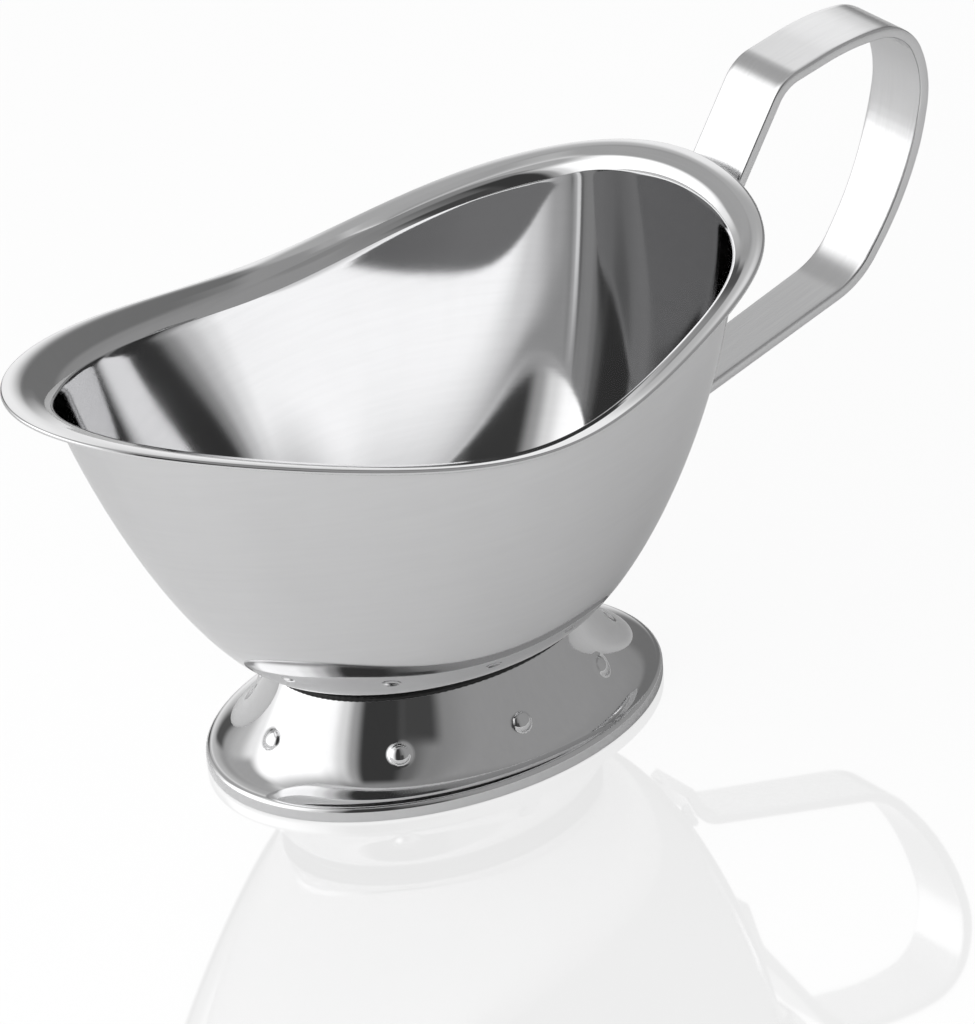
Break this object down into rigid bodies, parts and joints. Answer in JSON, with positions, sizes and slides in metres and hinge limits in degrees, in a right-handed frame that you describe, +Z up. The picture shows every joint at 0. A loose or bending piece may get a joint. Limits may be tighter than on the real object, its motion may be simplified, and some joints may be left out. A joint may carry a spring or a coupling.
{
  "type": "gravy boat",
  "caption": "Footed oval gravy boat in polished steel, with a flared rim dipping at the sides, a pouring spout, a bent strap handle and round beads on the foot.",
  "frame": {"origin": "on the table, under the middle of the overall box: midway between the spout's tip and the back of the handle, on the boat's plane of symmetry", "axes": "+Z up, +X towards the handle, -X towards the spout, +Y to the left when the spout is seen from the handle looking up; the XZ plane is the plane of symmetry"},
  "size_m": [0.2234, 0.1094, 0.1173],
  "materials": {
    "bowl_steel": "mirror-polished stainless steel",
    "foot_steel": "mirror-polished stainless steel",
    "strap_steel": "satin-brushed stainless steel, brushed along the strap",
    "weld_steel": "cleaned and lightly polished weld metal",
    "seam_steel": "weld metal left black with scale, down in the crease under the bowl"
  },
  "bodies": {
    "root": {"bowl_shell": "bowl_steel", "pedestal_foot": "foot_steel", "foot_weld_seam": "seam_steel", "handle_strap": "strap_steel", "upper_weld_left": "weld_steel", "upper_weld_right": "weld_steel", "lower_weld_left": "weld_steel", "lower_weld_right": "weld_steel"}
  },
  "joints": []
}
